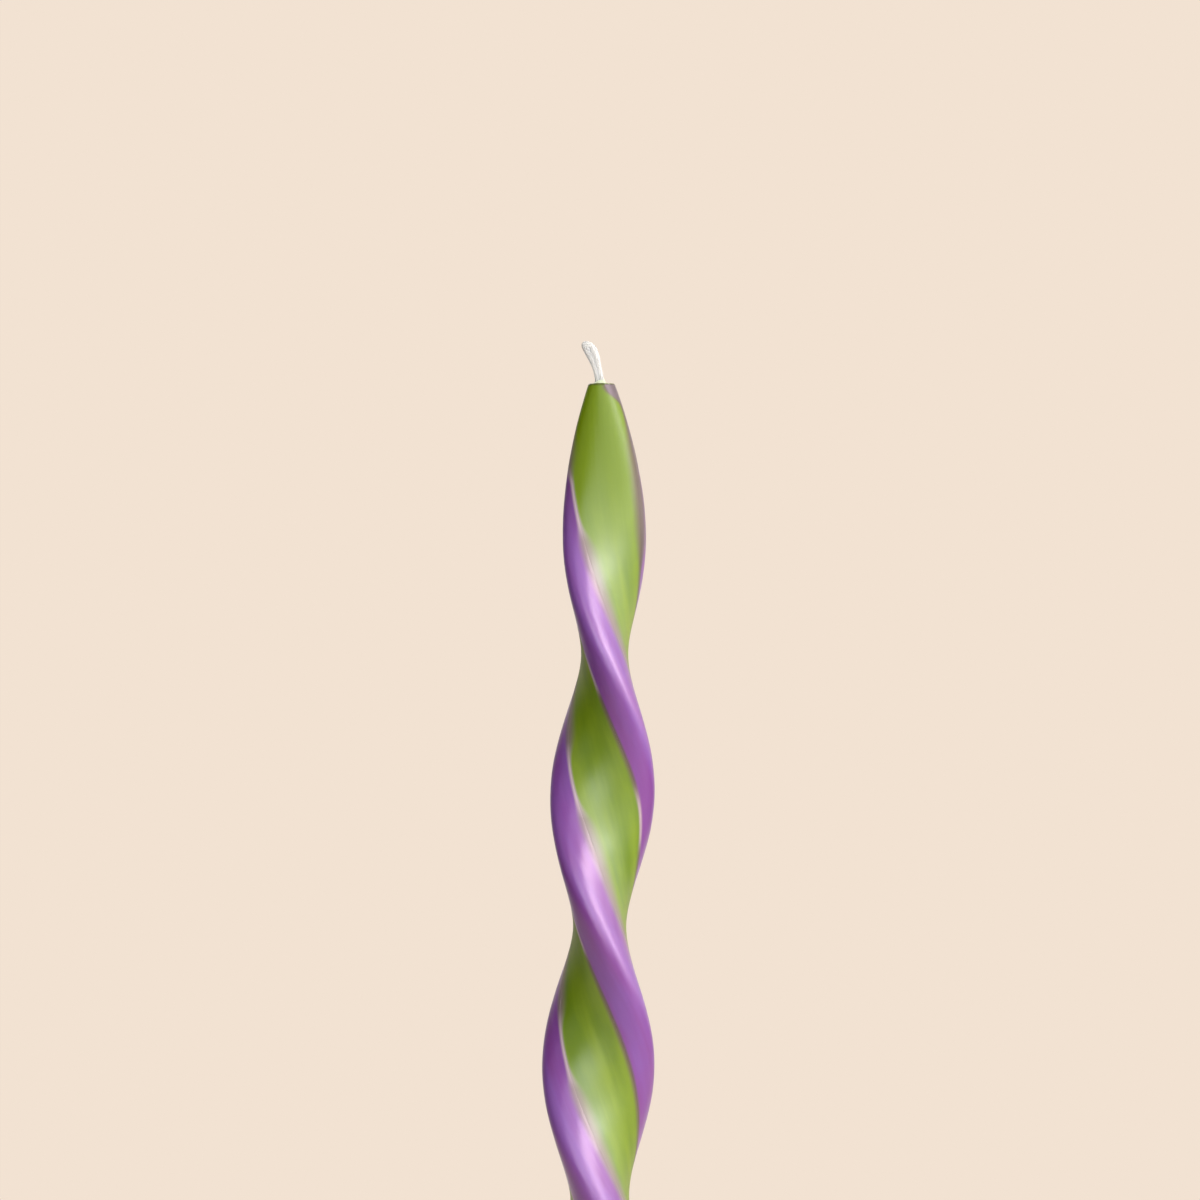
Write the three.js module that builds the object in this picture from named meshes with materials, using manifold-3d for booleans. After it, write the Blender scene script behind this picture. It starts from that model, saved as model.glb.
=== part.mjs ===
// A two-colour spiral taper candle: a dipped round taper, rolled flat and wound into a left-handed screw.
// Millimetres, +Z up. The origin is the centre of the foot face, and the candle stands on z = 0.
import * as THREE from "three";
import { mergeVertices } from "three/addons/utils/BufferGeometryUtils.js";
import Module from "manifold-3d";

const wasm = await Module();
wasm.setup();

const { clamp, degToRad, lerp, smoothstep } = THREE.MathUtils;

// Driving dimensions.

// The wax as a round taper, before it is rolled flat.
const waxHeight = 280;
const tipRadius = 3.3;
const shoulderLength = 20; // how fast the tip swells into the body
const bodyRadiusAtTip = 8.0;
const bodyRadiusAtFoot = 11.3;
const tipEdgeRadius = 0.5;

// The round foot, which fits a 22 mm candle holder.
const footRadius = 11;
const footLength = 24;
const footBlendLength = 26; // from the round foot up to the full flattening
const footEdgeRadius = 0.8;

// The rolled section: its width over its thickness, and how square it is (2 is an ellipse).
const flatnessAtTip = 2.15;
const flatnessAtFoot = 1.9;
const flatteningLength = 15; // how fast the round tip turns flat
const sectionExponent = 2.1;

// The twist, left-handed: one full turn of the body, slower towards the tip.
const turnLength = 136;
const tipTwistShare = 0.11;
const twistEaseLength = 64;
const frontEdgeDepth = 67.9; // below the tip, where the narrow edge first faces the front (-Y)

// The slight bow of a hand-rolled taper.
const bowWidth = 0.8;
const bowLength = 225;

// The wax layers. Touching layers keep one clearance all round.
const layerGap = 0.3;
const coatUnderBand = 0.75;
const bandThickness = 1.0;
const bandProud = 0.15;
const coreLeastWall = 0.9;

// The two coloured bands over the narrow edges, as angles of the section from the edge to each border. The
// leading border comes first on the way down the front, and opens later and faster than the trailing one.
const bandHalfAngleDegrees = 57;
const leadAngleAtTipDegrees = 12;
const leadOpeningStart = 14; // depths below the tip
const leadOpeningEnd = 42;
const trailAngleAtTipDegrees = 24;
const trailOpeningStart = 9;
const trailOpeningEnd = 54;
const bandTopDepth = 1.2;
const bandFadeLength = 4; // over which the band thins towards its upper end
const bandEndShare = 0.35; // thickness left at that end

// The wick: one cord folded into a hairpin.
const wickDiameter = 0.9;
const wickLegGap = 0.45;
const wickExposed = 10.7;
const wickHeadSpacing = 2.4; // between the leg centres at the loop
const wickLean = 4.6; // of the loop to the left (-X)
const wickLeanPower = 1.9;
const wickFootInset = 0.5;

// How finely the surfaces are divided.
const levelStep = 5;
const coreLevelStep = 10;
const faceSegments = 8; // of each broad face, between the bands
const bandSegments = 8;
const plainSegments = 28; // of a section without bands
const roundingSteps = 3;
const wickSides = 6;
const loopSteps = 10;

// Sizes that follow from them.
const coatThickness = coatUnderBand + bandThickness + layerGap - bandProud;
const coreInset = coatThickness + layerGap;
const fullTurn = 2 * Math.PI;
const wickRadius = wickDiameter / 2;
const wickLegSpacing = wickDiameter + wickLegGap;
const boreRadius = wickRadius + layerGap;

const material = (color, roughness) => new THREE.MeshStandardMaterial({ color, roughness, metalness: 0 });
const greenWax = material(0x97ab58, 0.38);
const purpleWax = material(0x965fa8, 0.34);
const whiteWax = material(0xf1ead9, 0.5);
const wickCotton = material(0xf4f2ec, 0.9);

// The form of the candle at a depth below its tip.

// 1 over the flattened body, falling to 0 on the round foot.
function rolledShare(depth) {
  return smoothstep(waxHeight - depth, footLength, footLength + footBlendLength);
}

function roundRadius(depth) {
  const body = lerp(bodyRadiusAtTip, bodyRadiusAtFoot, depth / waxHeight);
  const tapered = tipRadius + (body - tipRadius) * (1 - Math.exp(-depth / shoulderLength));
  return lerp(footRadius, tapered, rolledShare(depth));
}

// Rolling keeps the section's area: it widens by the same factor as it thins.
function widening(depth) {
  const rolled = lerp(flatnessAtTip, flatnessAtFoot, depth / waxHeight);
  const share = rolledShare(depth) * (1 - Math.exp(-depth / flatteningLength));
  return Math.sqrt(lerp(1, rolled, share));
}

const halfWidth = (depth) => roundRadius(depth) * widening(depth);
const halfThickness = (depth) => roundRadius(depth) / widening(depth);

// How far something has run along a distance that it starts on smoothly, over an ease length.
function easedLength(distance, ease) {
  const share = clamp(distance / ease, 0, 1);
  return ease * (share ** 3 - share ** 4 / 2) + Math.max(distance - ease, 0);
}

// The twist since the tip, in lengths of the body's steady twist. The round foot is held, so it stays
// untwisted.
function steadyTwistLength(depth) {
  const started = tipTwistShare * depth + (1 - tipTwistShare) * easedLength(depth, twistEaseLength);
  const rolledEnd = waxHeight - footLength - footBlendLength;
  return started - easedLength(depth - rolledEnd, footBlendLength);
}

// The heading of the section's wide axis, counter-clockwise from +X. It grows downwards, so the screw is
// left-handed.
function heading(depth) {
  const turns = (steadyTwistLength(depth) - steadyTwistLength(frontEdgeDepth)) / turnLength;
  return turns * fullTurn - fullTurn / 4;
}

function bow(depth) {
  return bowWidth * Math.sin((fullTurn * depth) / bowLength) * rolledShare(depth);
}

// How far the surface draws in over the rounded edges of the tip and the foot.
function edgeInset(depth) {
  const quarter = (distance, radius) => {
    const left = Math.max(radius - distance, 0);
    return radius - Math.sqrt(radius ** 2 - left ** 2);
  };
  return quarter(depth, tipEdgeRadius) + quarter(waxHeight - depth, footEdgeRadius);
}

// A point at a height, from its place in the section: along its wide axis and across it.
function placed(z, along, across) {
  const depth = waxHeight - z;
  const turn = heading(depth);
  const x = bow(depth) + along * Math.cos(turn) - across * Math.sin(turn);
  const y = along * Math.sin(turn) + across * Math.cos(turn);
  return new THREE.Vector3(x, y, z);
}

// A point of the section at an angle from its wide axis, moved inwards by an inset.
function sectionPoint(z, angle, inset) {
  const depth = waxHeight - z;
  const rounded = (value) => Math.sign(value) * Math.abs(value) ** (2 / sectionExponent);
  const along = (halfWidth(depth) - inset) * rounded(Math.cos(angle));
  const across = (halfThickness(depth) - inset) * rounded(Math.sin(angle));
  return placed(z, along, across);
}

// The angle of a border that opens from its angle at the tip to that of the full band.
function borderAngle(z, angleAtTip, openingStart, openingEnd) {
  const share = smoothstep(waxHeight - z, openingStart, openingEnd);
  return degToRad(lerp(angleAtTip, bandHalfAngleDegrees, share));
}

const leadAngle = (z) => borderAngle(z, leadAngleAtTipDegrees, leadOpeningStart, leadOpeningEnd);
const trailAngle = (z) => borderAngle(z, trailAngleAtTipDegrees, trailOpeningStart, trailOpeningEnd);

// The angle that a small distance round the section spans at a border.
function angleOf(distance, z, border) {
  const depth = waxHeight - z;
  const speed = Math.hypot(halfWidth(depth) * Math.sin(border), halfThickness(depth) * Math.cos(border));
  return distance / speed;
}

// 1 along the band, less over its thinning upper end, and 0 above it.
function bandShare(z) {
  const below = waxHeight - bandTopDepth - z;
  return below < 0 ? 0 : lerp(bandEndShare, 1, smoothstep(below, 0, bandFadeLength));
}

// Bodies made of rings.

const steps = (count) => Array.from({ length: count + 1 }, (_, i) => i / count);
const between = (from, to, count) => steps(count).map((share) => lerp(from, to, share));
const levelsBetween = (from, to, step) => between(from, to, Math.ceil((to - from) / step));

function geometryOf(points, triangles) {
  const geometry = new THREE.BufferGeometry().setFromPoints(points);
  geometry.setIndex(triangles.flat());
  geometry.computeVertexNormals();
  return geometry;
}

// The triangles of the sides between neighbouring rings, each quad split along its shorter diagonal,
// so that nested surfaces fold the same way.
function sidesOf(rings) {
  const count = rings[0].length;
  const triangles = [];
  for (let ring = 0; ring + 1 < rings.length; ring++) {
    const [below, above] = [rings[ring], rings[ring + 1]];
    for (let i = 0; i < count; i++) {
      const next = (i + 1) % count;
      const [a, b] = [ring * count + i, ring * count + next];
      const [c, d] = [b + count, a + count];
      if (below[i].distanceTo(above[next]) < below[next].distanceTo(above[i])) {
        triangles.push([a, b, c], [a, c, d]);
      } else {
        triangles.push([a, b, d], [b, c, d]);
      }
    }
  }
  return triangles;
}

// A closed body through level rings, each listed counter-clockwise from above, the lowest ring first.
function loft(rings) {
  const count = rings[0].length;
  const outline = (ring) => ring.map((point) => new THREE.Vector2(point.x, point.y));
  const capOf = (ring) => THREE.ShapeUtils.triangulateShape(outline(ring), []);
  const top = (rings.length - 1) * count;
  const lowCap = capOf(rings[0]).map(([a, b, c]) => [a, c, b]);
  const highCap = capOf(rings.at(-1)).map((triangle) => triangle.map((i) => i + top));
  return geometryOf(rings.flat(), [...sidesOf(rings), ...lowCap, ...highCap]);
}

// A round tube along a line of centres, with flat ends.
function tube(centres, radius, sides) {
  const rings = [];
  const normal = new THREE.Vector3(1, 0, 0);
  centres.forEach((centre, i) => {
    const before = centres[Math.max(i - 1, 0)];
    const after = centres[Math.min(i + 1, centres.length - 1)];
    const tangent = after.clone().sub(before).normalize();
    normal.addScaledVector(tangent, -normal.dot(tangent)).normalize();
    const binormal = tangent.clone().cross(normal);
    rings.push(
      between(0, fullTurn, sides).slice(0, -1).map((angle) => centre.clone()
        .addScaledVector(normal, radius * Math.cos(angle))
        .addScaledVector(binormal, radius * Math.sin(angle))),
    );
  });
  const last = (rings.length - 1) * sides;
  const fan = Array.from({ length: sides - 2 }, (_, i) => [0, i + 1, i + 2]);
  const startCap = fan.map(([a, b, c]) => [a, c, b]);
  const endCap = fan.map((triangle) => triangle.map((i) => i + last));
  return geometryOf(rings.flat(), [...sidesOf(rings), ...startCap, ...endCap]);
}

function solidOf(geometry) {
  const bare = geometry.clone();
  bare.deleteAttribute("normal");
  const merged = mergeVertices(bare);
  return new wasm.Manifold(
    new wasm.Mesh({
      numProp: 3,
      vertProperties: merged.attributes.position.array,
      triVerts: new Uint32Array(merged.index.array),
    }),
  );
}

// What is left of a body once the others are taken out of it.
function cut(geometry, ...removed) {
  const solid = removed.reduce((left, other) => left.subtract(solidOf(other)), solidOf(geometry));
  const mesh = solid.getMesh();
  const result = new THREE.BufferGeometry();
  result.setAttribute("position", new THREE.BufferAttribute(mesh.vertProperties, 3));
  result.setIndex(new THREE.BufferAttribute(mesh.triVerts, 1));
  result.computeVertexNormals();
  return result;
}

// Levels from the foot to the tip, closer over the rounded edges.
function outerLevels() {
  const bandTop = waxHeight - bandTopDepth;
  const rounding = steps(roundingSteps).map((share) => Math.sin((share * fullTurn) / 4));
  const footEdge = rounding.map((share) => footEdgeRadius * (1 - Math.sqrt(1 - share ** 2)));
  const tipEdge = footEdge.map((z) => waxHeight - (z * tipEdgeRadius) / footEdgeRadius).reverse();
  const body = levelsBetween(footEdgeRadius, bandTop - bandFadeLength, levelStep).slice(1);
  const fade = [bandTop - bandFadeLength / 2, bandTop, bandTop + bandTopDepth / 8];
  return [...footEdge, ...body, ...fade, ...tipEdge].filter((z, i, all) => i === 0 || z > all[i - 1]);
}

// The coat's outer ring: flush over the two broad faces, and set back in two grooves for the bands.
function coatRing(z) {
  const [lead, trail] = [leadAngle(z), trailAngle(z)];
  const [leadWall, trailWall] = [angleOf(layerGap, z, lead), angleOf(layerGap, z, trail)];
  const edge = edgeInset(waxHeight - z);
  const grooveDepth = (bandThickness + layerGap - bandProud) * bandShare(z);
  const halfTurn = fullTurn / 2;
  const arc = (start, from, to, count, inset) =>
    between(from, to, count).map((angle) => sectionPoint(z, start + angle, inset));
  return [0, halfTurn].flatMap((start) => [
    ...arc(start, -trail - trailWall, lead + leadWall, bandSegments, edge + grooveDepth),
    ...arc(start, lead + 2 * leadWall, halfTurn - trail - 2 * trailWall, faceSegments, edge),
  ]);
}

function plainRing(z, inset) {
  return between(0, fullTurn, plainSegments).slice(0, -1).map((angle) => sectionPoint(z, angle, inset));
}

// The section of a band over the narrow edge that starts at an angle: 0 or half a turn.
function bandRing(z, start) {
  const edge = edgeInset(waxHeight - z);
  const outer = edge - bandProud;
  const inner = outer + bandThickness * bandShare(z);
  const across = between(-trailAngle(z), leadAngle(z), bandSegments);
  return [
    ...across.map((angle) => sectionPoint(z, start + angle, outer)),
    ...across.reverse().map((angle) => sectionPoint(z, start + angle, inner)),
  ];
}

// The hole for the two legs of the wick, round at both ends.
function boreRing(z) {
  const halfSpan = wickLegSpacing / 2;
  const arc = (from) => between(from, from + fullTurn / 2, wickSides);
  const end = (from, side) => arc(from).map((angle) =>
    placed(z, side * halfSpan + boreRadius * Math.cos(angle), boreRadius * Math.sin(angle)));
  return [...end(-fullTurn / 4, 1), ...end(fullTurn / 4, -1)];
}

// The highest level at which the core still has its least wall round the wick.
function coreTopLevel() {
  const wallAt = (depth) => halfThickness(depth) - coreInset - boreRadius;
  let depth = 0;
  while (wallAt(depth) < coreLeastWall) depth += layerGap;
  return waxHeight - depth;
}

const coreTop = coreTopLevel();
const overcut = footEdgeRadius; // how far a cut runs past the face that it opens

function bore(from, to) {
  return loft(levelsBetween(from, to, coreLevelStep).map(boreRing));
}

// The sub-parts.

function waxCore() {
  const rings = levelsBetween(0, coreTop, levelStep).map((z) => plainRing(z, coreInset));
  return new THREE.Mesh(cut(loft(rings), bore(-overcut, coreTop + overcut)), whiteWax);
}

function greenCoat() {
  const cavityTop = coreTop + layerGap;
  const cavityLevels = [-overcut, ...levelsBetween(0, cavityTop, levelStep)];
  const cavity = loft(cavityLevels.map((z) => plainRing(z, coatThickness)));
  const wickHole = bore(cavityTop - overcut, waxHeight + overcut);
  return new THREE.Mesh(cut(loft(outerLevels().map(coatRing)), cavity, wickHole), greenWax);
}

function purpleBand(start) {
  const bandTop = waxHeight - bandTopDepth - layerGap;
  const fadeStart = waxHeight - bandTopDepth - bandFadeLength;
  const footEdge = between(0, footEdgeRadius, roundingSteps);
  const body = levelsBetween(footEdgeRadius, fadeStart, levelStep).slice(1);
  const levels = [...footEdge, ...body, (fadeStart + bandTop) / 2, bandTop];
  return new THREE.Mesh(loft(levels.map((z) => bandRing(z, start))), purpleWax);
}

// A point of the wick: how far along the section's wide axis, with the exposed part leaning to the left.
function wickPoint(z, along) {
  const raised = Math.max(z - waxHeight, 0) / wickExposed;
  const point = placed(Math.min(z, waxHeight), along, 0);
  return point.setZ(z).add(new THREE.Vector3(-wickLean * raised ** wickLeanPower, 0, 0));
}

function foldedWick() {
  const loopRadius = wickHeadSpacing / 2;
  const loopLevel = waxHeight + wickExposed - wickRadius - loopRadius;
  const halfSpacing = (z) => lerp(wickLegSpacing, wickHeadSpacing, smoothstep(z, waxHeight, loopLevel)) / 2;
  const hidden = levelsBetween(wickFootInset, waxHeight, coreLevelStep);
  const exposed = between(waxHeight, loopLevel, roundingSteps).slice(1);
  const leg = [...hidden, ...exposed];
  const loopPoint = (angle) =>
    wickPoint(loopLevel + loopRadius * Math.sin(angle), loopRadius * Math.cos(angle));
  const centres = [
    ...leg.map((z) => wickPoint(z, halfSpacing(z))),
    ...between(0, fullTurn / 2, loopSteps).slice(1, -1).map(loopPoint),
    ...leg.reverse().map((z) => wickPoint(z, -halfSpacing(z))),
  ];
  return new THREE.Mesh(tube(centres, wickRadius, wickSides), wickCotton);
}

// The assembly.

function candle() {
  const group = new THREE.Group();
  const parts = {
    wax_core: waxCore(),
    green_coat: greenCoat(),
    purple_band_a: purpleBand(0),
    purple_band_b: purpleBand(fullTurn / 2),
    wick: foldedWick(),
  };
  for (const [name, mesh] of Object.entries(parts)) {
    mesh.name = name;
    group.add(mesh);
  }
  return group;
}

export default candle();
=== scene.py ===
"""A two-colour spiral candle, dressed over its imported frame.

The candle is a dipped taper that was rolled flat and wound into a left-handed screw: a white core, an olive
green coat, a purple band pressed over each narrow edge, and a folded cotton wick. Every wax surface is one
formula, a rolled section that turns with height, worked out with numpy for whole grids of points at once.
"""

import logging
import math
from dataclasses import dataclass
from enum import Enum

import bpy
import numpy as np
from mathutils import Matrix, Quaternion, Vector


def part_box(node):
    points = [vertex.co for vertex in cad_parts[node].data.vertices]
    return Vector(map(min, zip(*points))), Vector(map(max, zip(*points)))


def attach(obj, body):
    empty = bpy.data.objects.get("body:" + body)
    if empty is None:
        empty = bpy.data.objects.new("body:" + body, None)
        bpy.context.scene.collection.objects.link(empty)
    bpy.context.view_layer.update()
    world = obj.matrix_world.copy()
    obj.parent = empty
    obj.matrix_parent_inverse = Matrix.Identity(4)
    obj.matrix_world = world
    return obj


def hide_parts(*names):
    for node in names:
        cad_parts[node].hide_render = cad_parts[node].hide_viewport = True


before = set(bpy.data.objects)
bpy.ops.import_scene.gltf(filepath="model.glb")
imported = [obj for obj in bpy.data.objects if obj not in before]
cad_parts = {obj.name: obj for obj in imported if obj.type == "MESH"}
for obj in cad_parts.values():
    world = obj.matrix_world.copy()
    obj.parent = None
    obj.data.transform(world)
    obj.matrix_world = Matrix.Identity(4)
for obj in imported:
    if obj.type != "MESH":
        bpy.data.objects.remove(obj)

log = logging.getLogger("spiral_candle")

MM = 0.001
FULL_TURN = 2 * math.pi
ROOT = "root"
UNWOUND = "unwound"
STAIN = "stain_share"
# Share of painted highlight: a pale colour along band borders that stands for the glint on their ridges.
PAINTED_HIGHLIGHT = "painted_highlight_share"
# Share of painted shade in the wick's crease and braid.
PAINTED_CREASE_SHADE = "painted_crease_shade"
RIM = "rim_share"
SHARP_FOLD = math.radians(50)
TOLERANCE = 0.001 * MM

Array = np.ndarray
Colour = tuple[float, float, float]
Span = tuple[float, float]
Socket = bpy.types.NodeSocket


def linear(colour: Colour) -> tuple[float, float, float, float]:
    """Turns an 8-bit screen colour into the linear colour that a shader takes.

    Args:
        colour: Red, green and blue from 0 to 255.

    Returns:
        The linear red, green, blue and an alpha of 1.
    """
    shares = np.asarray(colour) / 255
    values = np.where(shares <= 0.04045, shares / 12.92, ((shares + 0.055) / 1.055) ** 2.4)
    return (float(values[0]), float(values[1]), float(values[2]), 1.0)


def smooth_share(value: Array | float, start: float, end: float) -> Array:
    """Rises smoothly from 0 at start to 1 at end, as 3t^2 - 2t^3.

    Args:
        value: Where to read the rise.
        start: The value at which it leaves 0.
        end: The value at which it reaches 1.

    Returns:
        The share, in the shape of value.
    """
    share = np.clip((np.asarray(value) - start) / (end - start), 0, 1)
    return share * share * (3 - 2 * share)


def blend_values(start: Array | float, end: Array | float, share: Array | float) -> Array:
    """Goes from start to end by a share from 0 to 1."""
    return start + (end - start) * share


def stacked(along: Array, across: Array, z: Array | float) -> Array:
    """Puts places of the unwound candle together: along the section's wide axis, across it, and upwards."""
    return np.stack(np.broadcast_arrays(along, across, z), axis=-1)


def angles_around(count: int) -> Array:
    """Gives a row of evenly spaced angles that make a full turn together."""
    return np.linspace(0, FULL_TURN, count, endpoint=False)[None, :]


def eased_length(distance: Array, ease: float) -> Array:
    """Gives the length run along a distance that is started on smoothly.

    Formula: the integral of smooth_share, which is ease (t^3 - t^4 / 2) up to the ease length, and one to
    one after it.

    Args:
        distance: Distance from the start, negative before it.
        ease: The length over which the run reaches its full rate.

    Returns:
        The length run, 0 before the start.
    """
    share = np.clip(distance / ease, 0, 1)
    return ease * (share**3 - share**4 / 2) + np.maximum(distance - ease, 0)


@dataclass(frozen=True)
class TaperForm:
    """The outer form of the wax. Lengths are in metres, and depths are measured down from the tip."""

    wax_height: float = 280 * MM
    tip_radius: float = 3.3 * MM
    shoulder_length: float = 20 * MM
    body_radius_at_tip: float = 8.0 * MM
    body_radius_at_foot: float = 11.3 * MM
    tip_edge_radius: float = 0.45 * MM
    wick_drift_at_tip: float = 0.45 * MM
    wick_drift_depth: float = 6.0 * MM
    foot_radius: float = 11 * MM
    foot_length: float = 24 * MM
    foot_blend_length: float = 26 * MM
    foot_edge_radius: float = 0.8 * MM
    flat_ratio_at_tip: float = 2.15
    flat_ratio_at_foot: float = 1.9
    flattening_length: float = 15 * MM
    section_exponent: float = 2.1
    tip_softness: float = 0.3
    turn_length: float = 136 * MM
    tip_twist_share: float = 0.11
    twist_ease_length: float = 64 * MM
    front_edge_depth: float = 67.9 * MM
    bow_width: float = 0.8 * MM
    bow_length: float = 225 * MM

    def rolled_share(self, depth: Array) -> Array:
        """Is 1 over the flattened body and falls to 0 on the round foot."""
        height = self.wax_height - depth
        return smooth_share(height, self.foot_length, self.foot_length + self.foot_blend_length)

    def round_radius(self, depth: Array) -> Array:
        """Gives the radius of the round taper that was rolled.

        Formula: a straight taper that the tip swells into exponentially, blended to the foot's plain radius.

        Args:
            depth: Depth below the tip.

        Returns:
            The radius at each depth.
        """
        body = blend_values(self.body_radius_at_tip, self.body_radius_at_foot, depth / self.wax_height)
        tapered = self.tip_radius + (body - self.tip_radius) * (1 - np.exp(-depth / self.shoulder_length))
        return blend_values(self.foot_radius, tapered, self.rolled_share(depth))

    def widening(self, depth: Array) -> Array:
        """Gives the factor by which rolling widens the section, and thins it, at a constant area.

        Args:
            depth: Depth below the tip.

        Returns:
            The factor at each depth.
        """
        rolled = blend_values(self.flat_ratio_at_tip, self.flat_ratio_at_foot, depth / self.wax_height)
        share = self.rolled_share(depth) * (1 - np.exp(-depth / self.flattening_length))
        return np.sqrt(blend_values(1, rolled, share))

    def half_width(self, depth: Array) -> Array:
        """Gives half the section's width at each depth."""
        return self.round_radius(depth) * self.widening(depth)

    def half_thickness(self, depth: Array) -> Array:
        """Gives half the section's thickness at each depth."""
        return self.round_radius(depth) / self.widening(depth)

    def heading(self, depth: Array) -> Array:
        """Gives the direction of the section's wide axis, counter-clockwise from +X.

        Formula: a steady turn, started on smoothly below the tip and ended smoothly above the round foot. It
        grows with depth, so the screw is left-handed.

        Args:
            depth: Depth below the tip.

        Returns:
            The angle at each depth, in radians.
        """
        turned = self._twist_length(depth) - self._twist_length(np.asarray(self.front_edge_depth))
        return turned / self.turn_length * FULL_TURN - FULL_TURN / 4

    def _twist_length(self, depth: Array) -> Array:
        """Gives the twist since the tip, in lengths of the body's steady twist.

        Args:
            depth: Depth below the tip.

        Returns:
            The length at each depth.
        """
        started = self.tip_twist_share * depth
        started = started + (1 - self.tip_twist_share) * eased_length(depth, self.twist_ease_length)
        rolled_end = self.wax_height - self.foot_length - self.foot_blend_length
        return started - eased_length(depth - rolled_end, self.foot_blend_length)

    def bow(self, depth: Array) -> Array:
        """Gives the sideways bow of the hand-rolled taper: a sine of the depth."""
        return self.bow_width * np.sin(FULL_TURN * depth / self.bow_length) * self.rolled_share(depth)

    def wick_drift(self, z: Array) -> Array:
        """Gives how far the wick stands to the left of the middle, growing from nothing up to the tip."""
        share = np.clip(1 - (self.wax_height - z) / self.wick_drift_depth, 0, 1)
        return self.wick_drift_at_tip * share

    def edge_inset(self, depth: Array) -> Array:
        """Gives how far the surface draws in over the rounded edges of tip and foot.

        Formula: a quarter circle at each end.

        Args:
            depth: Depth below the tip.

        Returns:
            The inset at each depth.
        """
        inset = np.zeros_like(depth)
        for distance, radius in (
            (depth, self.tip_edge_radius),
            (self.wax_height - depth, self.foot_edge_radius),
        ):
            left = np.clip(radius - distance, 0, radius)
            inset = inset + radius - np.sqrt(radius**2 - left**2)
        return inset

    def places(self, z: Array, angle: Array, inset: Array | float) -> Array:
        """Gives points of the section in the unwound candle.

        Formula: a superellipse whose four tips are softened to a plain curve, with each half-axis shortened
        by the inset. Each wave w becomes w (w^2 + s^2)^((p - 1) / 2), with p for 2 / exponent and s for the
        softness.

        Args:
            z: Heights.
            angle: Angles from the wide axis, in radians.
            inset: How far each point lies inside the nominal surface.

        Returns:
            The places, with their coordinates in the last axis.
        """
        depth = self.wax_height - z
        power = (2 / self.section_exponent - 1) / 2
        cosine, sine = np.cos(angle), np.sin(angle)
        along = (self.half_width(depth) - inset) * cosine * (cosine**2 + self.tip_softness**2) ** power
        across = (self.half_thickness(depth) - inset) * sine * (sine**2 + self.tip_softness**2) ** power
        return stacked(along, across, z)

    def wound(self, unwound: Array, level: Array | float | None = None) -> Array:
        """Turns places of the unwound candle into points of the wound one.

        Args:
            unwound: The places.
            level: The heights whose turn they take. Without it they take that of their own height.

        Returns:
            The points, with their coordinates in the last axis.
        """
        along, across, z = unwound[..., 0], unwound[..., 1], unwound[..., 2]
        depth = self.wax_height - (z if level is None else level)
        turn = self.heading(depth)
        x = self.bow(depth) + along * np.cos(turn) - across * np.sin(turn)
        y = along * np.sin(turn) + across * np.cos(turn)
        return np.stack([x, y, z], axis=-1)

    def arc_speed(self, z: Array, angle: Array) -> Array:
        """Gives the length of surface that one radian of section angle spans, on an ellipse."""
        depth = self.wax_height - z
        return np.hypot(self.half_width(depth) * np.sin(angle), self.half_thickness(depth) * np.cos(angle))


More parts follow.
